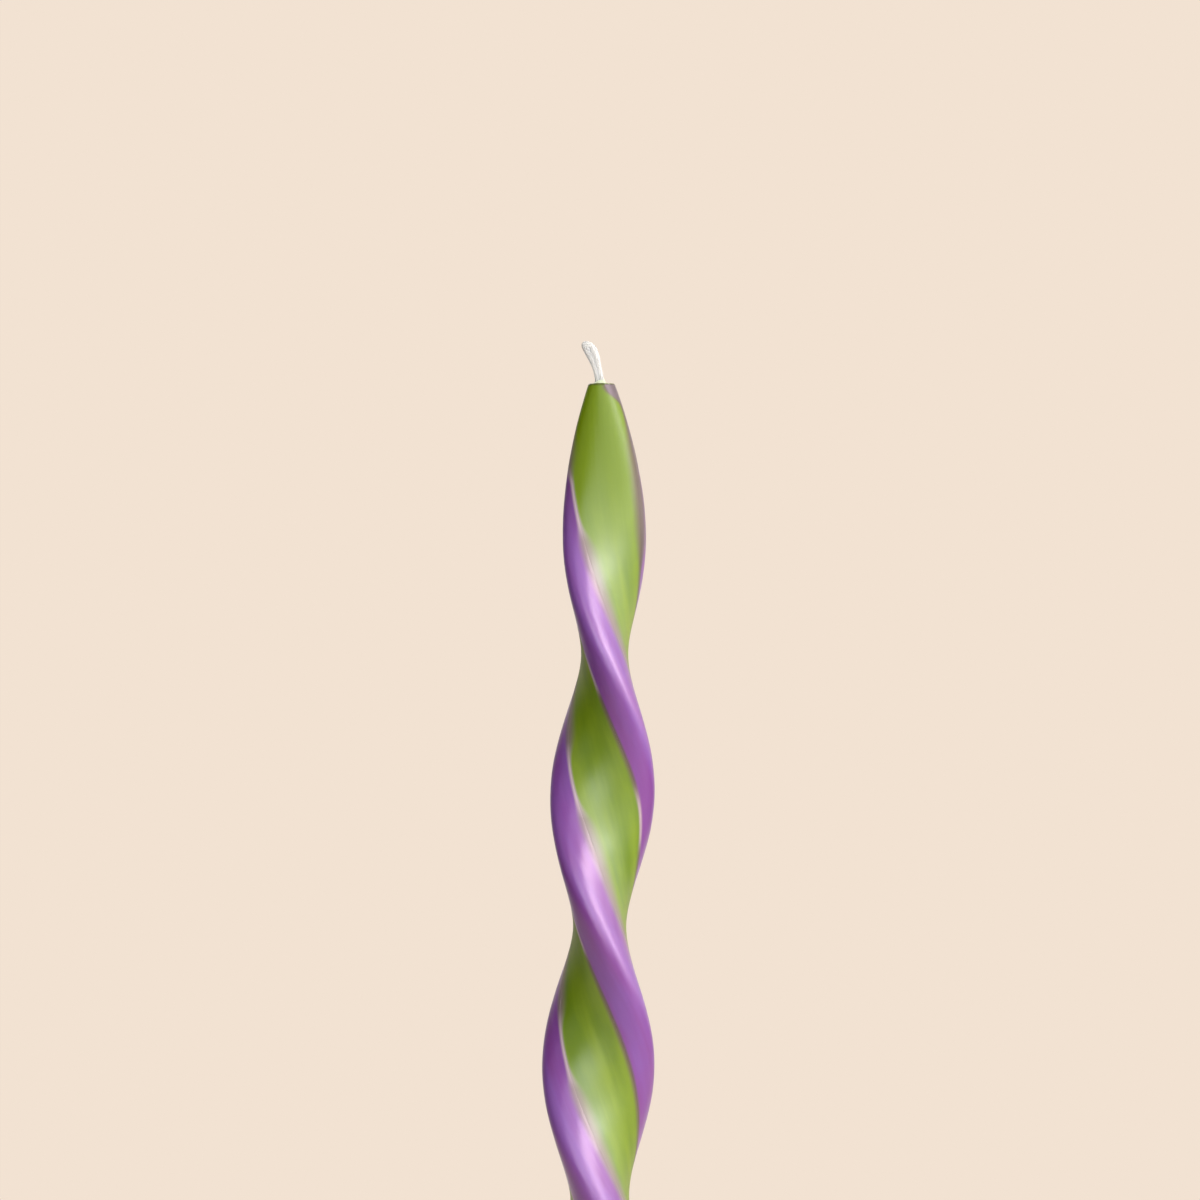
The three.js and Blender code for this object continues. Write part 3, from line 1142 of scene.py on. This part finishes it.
@dataclass
class ColourBand:
    """A purple wax band over one narrow edge, with a fine bead along its leading border."""

    body: WaxBody
    edge: NarrowEdge
    stain: BorderStain = BorderStain(
        lead_width=2.6 * MM, trail_width=1.0 * MM, upper_trail_width=7 * MM, highlight_lip_width=0.9 * MM
    )
    border_offsets_mm: tuple[float, ...] = (0.0, 0.03, 0.08, 0.16, 0.26, 0.38, 0.52, 0.7, 0.95, 1.3)
    middle_steps: int = 60
    side_clearance: float = 0.01 * MM
    corner_drop: float = 0.014 * MM
    corner_radius: float = 0.14 * MM
    trailing_loss: float = 0.6
    trailing_sharpness: float = 4
    bead_height: float = 0.03 * MM
    bead_place: float = 0.55 * MM
    bead_width: float = 0.5 * MM
    top_depth: float = 0.3 * MM

    def _profile(self, inside: Array, trailing: Array) -> Array:
        """Gives how far the band's face lies inside the nominal surface.

        Formula: a quarter-round corner at the border, and a bell-shaped bead a little inside it.

        Args:
            inside: Distance inside the band's border.
            trailing: 1 near the trailing border, which was smoothed down, and 0 near the leading one.

        Returns:
            The inset, negative where the bead stands proud.
        """
        left = np.clip(1 - inside / self.corner_radius, 0, 1)
        corner = self.corner_drop * (1 - np.sqrt(1 - left**2))
        bead = self.bead_height * np.exp(-(((inside - self.bead_place) / self.bead_width) ** 2))
        return corner * (1 - self.trailing_loss * trailing) - bead * (1 - trailing)

    def build(self) -> None:
        """Builds the band as a closed crescent section carried from the foot to the tip."""
        body, form, layers = self.body, self.body.form, self.body.layers
        z = body.outer_levels(form.wax_height - self.top_depth)
        depth = form.wax_height - z
        span = body.span(z)
        offsets = np.array(self.border_offsets_mm) * MM
        offsets = offsets * span.crowding(offsets[-1])
        first = -span.trail + self.side_clearance / span.trail_speed
        last = span.lead - self.side_clearance / span.lead_speed
        rise = first + offsets / span.trail_speed
        fall = last - offsets[:, ::-1] / span.lead_speed
        middle = blend_values(rise[:, -1:], fall[:, :1], np.linspace(0, 1, self.middle_steps)[1:-1])
        angles = np.concatenate([rise, middle, fall], axis=1)
        inside = np.minimum((angles - first) * span.trail_speed, (last - angles) * span.lead_speed)
        trailing = (1 + np.tanh(self.trailing_sharpness * (span.middle - angles))) / 2
        section = angles + self.edge.value
        base = body.worked_inset(z, section)
        profile = body.band_borders.relief_share(depth) * self._profile(inside, trailing)
        outer = form.places(z, section, base + profile)
        inner = form.places(z, section, base + layers.seat_depth - layers.gap)
        unwound = np.concatenate([outer, inner[:, ::-1]], axis=1)
        inside = np.concatenate([inside, inside[:, ::-1]], axis=1)
        trailing = np.concatenate([trailing, trailing[:, ::-1]], axis=1)
        # The painted highlight: thin pale lines along stretches of the borders.
        highlight_lip = body.band_borders.highlight_lip_share(depth, trailing)
        name = f"purple_band_{self.edge.name.lower()}"
        stain = self.stain.share(z, inside, trailing, highlight_lip)
        attributes = {UNWOUND: unwound, STAIN: stain, PAINTED_HIGHLIGHT: self.stain.painted_highlight(trailing, highlight_lip)}
        piece = RingMesh(name + "_wax", form.wound(unwound), joined=False).build(attributes)
        finish_piece(piece, PURPLE_WAX.material(), (name,))


@dataclass
class WaxCore:
    """The undyed core: a solid taper inside the coat with the wick's channel through it."""

    body: WaxBody
    steps_around: int = 96
    level_step: float = 3 * MM
    channel_half_width: float = 1.3 * MM
    channel_half_thickness: float = 0.75 * MM

    def build(self) -> None:
        """Builds the core as rows up the outside and down the channel."""
        body, form, layers = self.body, self.body.form, self.body.layers
        z = body.levels(0, form.wax_height - layers.core_top_depth, self.level_step)
        angles = angles_around(self.steps_around)
        outside = form.places(z, angles, layers.coat_thickness + layers.gap)
        channel_along = self.channel_half_width * np.cos(angles)
        channel = stacked(channel_along, self.channel_half_thickness * np.sin(angles), z[::-1])
        unwound = np.concatenate([outside, channel])
        piece = RingMesh("wax_core_wax", form.wound(unwound), joined=True).build({UNWOUND: unwound})
        finish_piece(piece, CORE_WAX.material(), ("wax_core",))


@dataclass
class FoldedWick:
    """One braided cotton cord, folded into a hairpin, whose legs are pressed together and waxed."""

    form: TaperForm
    exposed: float = 10.6 * MM
    cord_radius: float = 0.58 * MM
    loop_cord_radius: float = 0.92 * MM
    swelling_start: float = 3.0 * MM
    lean: float = 3.45 * MM
    lean_power: float = 1.6
    foot_inset: float = 0.5 * MM
    crease_floor: float = 0.8
    crease_fill: Span = (0.5, 1.0)
    fill_sharpness: float = 4
    crease_width: float = 0.42
    crease_shade: float = 0.75
    braid_shade: float = 0.25
    closing_width: float = 0.02 * MM
    closing_share: float = 0.985
    shown_from: float = -1 * MM
    hidden_rows: int = 89
    shown_rows: int = 109
    loop_rows: int = 40
    steps_around: int = 72
    braid_length: float = 3.8 * MM
    braid_waves_across: float = 0.375
    braid_relief: float = 0.006

    @property
    def loop_start(self) -> float:
        """Gives the height above the wax at which the legs end and the half ring begins."""
        return self.exposed - 2 * self.loop_cord_radius

    def _levels(self) -> Array:
        """Gives the levels of the rings, closer where the cord shows and over the loop.

        Returns:
            Their heights above the wax as a column.
        """
        bottom = self.foot_inset - self.form.wax_height
        hidden = np.linspace(bottom, self.shown_from, self.hidden_rows, endpoint=False)
        shown = np.linspace(self.shown_from, self.loop_start, self.shown_rows, endpoint=False)
        angles = np.linspace(0, self.closing_share * FULL_TURN / 4, self.loop_rows)
        over = self.loop_start + 2 * self.loop_cord_radius * np.sin(angles)
        return np.concatenate([hidden, shown, over])[:, None]

    def _thickness(self, along: Array, above: Array, cord: Array) -> tuple[Array, Array]:
        """Gives half the thickness of the folded cord at places in its plane.

        Formula: two round legs side by side, whose top is half a ring; the crease between them is filled
        with wax up to a floor.

        Args:
            along: Distance from the middle line.
            above: Height above the start of the loop, zero below it.
            cord: Radius of the cord.

        Returns:
            Half the thickness, and the share by which each place lies in the crease.
        """
        reach = np.hypot(along, above) / cord
        round_leg = np.sqrt(np.maximum(1 - (reach - 1) ** 2, 0))
        floor = self.crease_floor * (1 - smooth_share(reach, *self.crease_fill))
        power = self.fill_sharpness
        thickness = cord * (round_leg**power + floor**power) ** (1 / power)
        return thickness, np.exp(-((reach / self.crease_width) ** 2))

    def build(self) -> None:
        """Carries the two-lobed section up the candle, and closes it over the loop.

        Formula: the outline swells by a product of two waves that cross the cord in opposite ways.
        """
        form = self.form
        height = self._levels()
        swelling = smooth_share(height, self.swelling_start, self.loop_start)
        cord = blend_values(self.cord_radius, self.loop_cord_radius, swelling)
        above = np.maximum(height - self.loop_start, 0)
        reach = np.sqrt(np.maximum((2 * cord) ** 2 - above**2, self.closing_width**2))
        angle = angles_around(self.steps_around)
        along = reach * np.cos(angle)
        thickness, crease = self._thickness(along, above, cord)
        rising = FULL_TURN * height / self.braid_length
        crossing = FULL_TURN * self.braid_waves_across * np.abs(along) / cord
        braid = np.cos(crossing + rising) * np.cos(crossing - rising)
        across = np.sign(np.sin(angle)) * thickness * (1 - self.braid_relief * (1 - braid))
        across[:, [0, self.steps_around // 2]] = 0

        z = form.wax_height + height
        unwound = stacked(along, across, z)
        rings = form.wound(unwound, np.minimum(z, form.wax_height))
        raised = np.maximum(height, 0) / self.exposed
        rings[..., 0] -= self.lean * raised**self.lean_power + form.wick_drift(z)
        # Painted shade: greyer along the crease between the legs, varying with the braid.
        crease_shade_share = np.clip(crease * (self.crease_shade - self.braid_shade * braid), 0, 1)
        piece = RingMesh("wick_cord", rings, joined=False).build({UNWOUND: unwound, PAINTED_CREASE_SHADE: crease_shade_share})
        finish_piece(piece, WICK_COTTON.material(), ("wick",))


@dataclass
class TipCollar:
    """The small skin of clear wax that has crept up the foot of the wick."""

    form: TaperForm
    dome_height: float
    inner_along: float = 1.16 * MM
    inner_across: float = 0.58 * MM
    outer_along: float = 1.95 * MM
    outer_across: float = 1.4 * MM
    rise: float = 0.75 * MM
    rise_to_the_right: float = 0.35 * MM
    fall_power: float = 2.4
    rim_thickness: float = 0.02 * MM
    sunk_depth: float = 0.05 * MM
    steps_around: int = 64
    steps_across: int = 16

    def build(self) -> None:
        """Builds the collar as a ring that is high and thin at the wick and runs out on the tip."""
        angle = angles_around(self.steps_around)
        share = np.linspace(0, 1, self.steps_across)[:, None]
        along = blend_values(self.inner_along, self.outer_along, share) * np.cos(angle)
        across = blend_values(self.inner_across, self.outer_across, share) * np.sin(angle)
        rise = self.rise + self.rise_to_the_right * -np.cos(angle)
        under = self.form.wax_height + self.dome_height * (1 - smooth_share(share, 0, 1))
        top = under + self.rim_thickness + rise * (1 - share) ** self.fall_power
        upper, base = stacked(along, across, top), stacked(along, across, under - self.sunk_depth)
        unwound = np.concatenate([upper[::-1], base])
        rings = self.form.wound(unwound, self.form.wax_height)
        rings[..., 0] -= self.form.wick_drift_at_tip
        piece = RingMesh("tip_collar_wax", rings, joined=True).build({UNWOUND: unwound})
        finish_piece(piece, COLLAR_WAX.material(), ())


@dataclass(frozen=True)
class SoftBox:
    """A rectangular studio lamp that faces the candle, described by what the candle sees of it."""

    name: str
    azimuth: float
    elevation: float
    half_width: float
    half_height: float
    brightness: float
    roll: float = 0.0
    warmth: float = 0.0
    distance: float = 1.7

    def build(self, target: Vector) -> None:
        """Makes the lamp. Azimuth 0 is at the camera's side, and 90 is to its right.

        Formula: an even square metre gives off pi times its brightness in watts.

        Args:
            target: The point that it faces.
        """
        lamp = bpy.data.lights.new(self.name, "AREA")
        lamp.shape = "RECTANGLE"
        lamp.size = 2 * self.distance * math.tan(math.radians(self.half_width))
        lamp.size_y = 2 * self.distance * math.tan(math.radians(self.half_height))
        lamp.energy = math.pi * self.brightness * lamp.size * lamp.size_y
        lamp.color = (1 + self.warmth, 1.0, 1 - self.warmth)
        holder = bpy.data.objects.new(self.name, lamp)
        turn, rise = math.radians(self.azimuth), math.radians(self.elevation)
        towards = Vector((math.sin(turn) * math.cos(rise), -math.cos(turn) * math.cos(rise), math.sin(rise)))
        holder.location = target + towards * self.distance
        rolled = Quaternion((0, 0, 1), math.radians(self.roll))
        holder.rotation_euler = (towards.to_track_quat("Z", "Y") @ rolled).to_euler()
        bpy.context.scene.collection.objects.link(holder)
        log.info("%s: %.0f W", self.name, lamp.energy)


@dataclass
class Studio:
    """The pale floor and backdrop, the lamps, and the camera at the photograph's place."""

    backdrop_colour: Colour = (242, 226, 210)
    floor_colour: Colour = (192, 178, 164)
    floor_radius: float = 420 * MM
    floor_middle_radius: float = 0.5 * MM
    floor_thickness: float = 4 * MM
    floor_drop: float = 0.05 * MM
    floor_rows: int = 24
    floor_steps_around: int = 96
    fade_start: float = 0.45
    world_tint: tuple[float, ...] = (1, 0.97, 0.94, 1)
    world_light: float = 0.06
    behind_range: Span = (0.35, 0.95)
    side_range: Span = (-0.5, 0.5)
    left_share: float = 0.5
    focal_length: float = 135.0
    sensor_width: float = 36.0
    picture_width: float = 300 * MM
    picture_middle_height: float = 225.9 * MM
    picture_middle_shift: float = -0.4 * MM

    def build(self, lamps: tuple[SoftBox, ...]) -> None:
        """Builds the whole studio round the candle.

        Args:
            lamps: The soft boxes.
        """
        scene = bpy.context.scene
        scene.view_settings.view_transform = "Standard"
        self._world(scene)
        self._floor()
        self._camera(scene)
        target = Vector((0, 0, self.picture_middle_height))
        for lamp in lamps:
            lamp.build(target)

    def _world(self, scene: bpy.types.Scene) -> None:
        """Makes the world: the backdrop's colour where it is seen, and a weaker neutral light.

        A gloss sees the backdrop behind the candle, weaker on the left, and the dark room in front of it.

        Args:
            scene: The scene.
        """
        world = bpy.data.worlds.new("studio_air")
        scene.world = world
        graph = NodeGraph(world)
        light = graph.add("Background", Color=self.world_tint, Strength=self.world_light).outputs[0]
        direction = graph.add("TexCoord").outputs["Generated"]
        parts = graph.add("SeparateXYZ", Vector=direction).outputs
        behind = graph.remap(parts["Y"], self.behind_range, rise=Rise.SMOOTH)
        side = graph.remap(parts["X"], self.side_range, (self.left_share, 1))
        in_gloss = graph.ordered("Math", {"operation": "MULTIPLY"}, behind, side)
        to_camera = graph.add("LightPath").outputs["Is Camera Ray"]
        strength = graph.ordered("Math", {"operation": "MAXIMUM"}, in_gloss, to_camera)
        backdrop = graph.add("Background", Color=linear(self.backdrop_colour), Strength=strength).outputs[0]
        mixed = graph.ordered("MixShader", {}, graph.seen_directly(), light, backdrop)
        graph.add("OutputWorld", Surface=mixed)

    def _floor(self) -> None:
        """Makes a round pale slab under the candle, whose rim fades into the backdrop's colour."""
        angle = angles_around(self.floor_steps_around)
        radius = np.linspace(self.floor_middle_radius, self.floor_radius, self.floor_rows)[::-1]
        radius = np.concatenate([radius[:1], radius])[:, None]
        height = np.full_like(radius, -self.floor_drop)
        height[0] -= self.floor_thickness
        x, y = radius * np.cos(angle), radius * np.sin(angle)
        rings = np.stack(np.broadcast_arrays(x, y, height), axis=-1)
        share = np.broadcast_to(radius / self.floor_radius, x.shape)
        floor = RingMesh("floor", rings, joined=False).build({RIM: share})
        material = bpy.data.materials.new("pale_floor")
        graph = NodeGraph(material)
        lit = graph.add("BsdfDiffuse", Color=linear(self.floor_colour)).outputs[0]
        glow = graph.add("Emission", Color=linear(self.backdrop_colour)).outputs[0]
        fade = graph.remap(graph.attribute(RIM), (self.fade_start, 1))
        glowing = graph.ordered("Math", {"operation": "MULTIPLY"}, fade, graph.seen_directly())
        graph.add("OutputMaterial", Surface=graph.ordered("MixShader", {}, glowing, lit, glow))
        floor.data.materials.append(material)

    def _camera(self, scene: bpy.types.Scene) -> None:
        """Sets a long lens level with the middle of the picture, square to the candle's front.

        Args:
            scene: The scene.
        """
        lens = bpy.data.cameras.new("camera")
        lens.lens = self.focal_length
        lens.sensor_width = self.sensor_width
        camera = bpy.data.objects.new("camera", lens)
        distance = self.picture_width * self.focal_length / self.sensor_width
        camera.location = (self.picture_middle_shift, -distance, self.picture_middle_height)
        camera.rotation_euler = (FULL_TURN / 4, 0, 0)
        scene.collection.objects.link(camera)
        scene.camera = camera


WARM = 0.05
LAMPS = (
    SoftBox(
        "key_light", azimuth=52, elevation=34, half_width=24, half_height=16, brightness=3.0, warmth=WARM
    ),
    SoftBox(
        "key_strip",
        azimuth=51,
        elevation=19,
        half_width=26,
        half_height=9,
        brightness=5.6,
        roll=-39,
        warmth=WARM,
    ),
    SoftBox(
        "fill_light", azimuth=36, elevation=9, half_width=28, half_height=14, brightness=2.5, warmth=WARM
    ),
    SoftBox("low_light", azimuth=54, elevation=-14, half_width=24, half_height=9, brightness=0.9),
    SoftBox(
        "side_light", azimuth=92, elevation=10, half_width=17, half_height=18, brightness=2.3, warmth=WARM
    ),
    SoftBox("rim_light", azimuth=124, elevation=6, half_width=15, half_height=14, brightness=0.9),
    SoftBox("front_light", azimuth=-8, elevation=7, half_width=18, half_height=18, brightness=2.9),
    SoftBox("left_light", azimuth=-62, elevation=12, half_width=16, half_height=14, brightness=0.4),
    SoftBox("top_light", azimuth=-40, elevation=64, half_width=25, half_height=20, brightness=1.5),
    SoftBox("back_light", azimuth=-176, elevation=38, half_width=30, half_height=20, brightness=2.2),
)


def main() -> None:
    """Builds the candle's pieces and the studio, and reports each."""
    logging.basicConfig(level=logging.INFO, format="%(name)s: %(message)s")
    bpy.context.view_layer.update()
    form = TaperForm(wax_height=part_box("green_coat")[1].z)
    body = WaxBody(form, BandBorders(), Layers(), HandWork())
    coat = WaxCoat(body)
    coat.build()
    for edge in NarrowEdge:
        ColourBand(body, edge).build()
    WaxCore(body).build()
    FoldedWick(form).build()
    TipCollar(form, coat.dome_height).build()
    Studio().build(LAMPS)


if __name__ == "__main__":
    main()
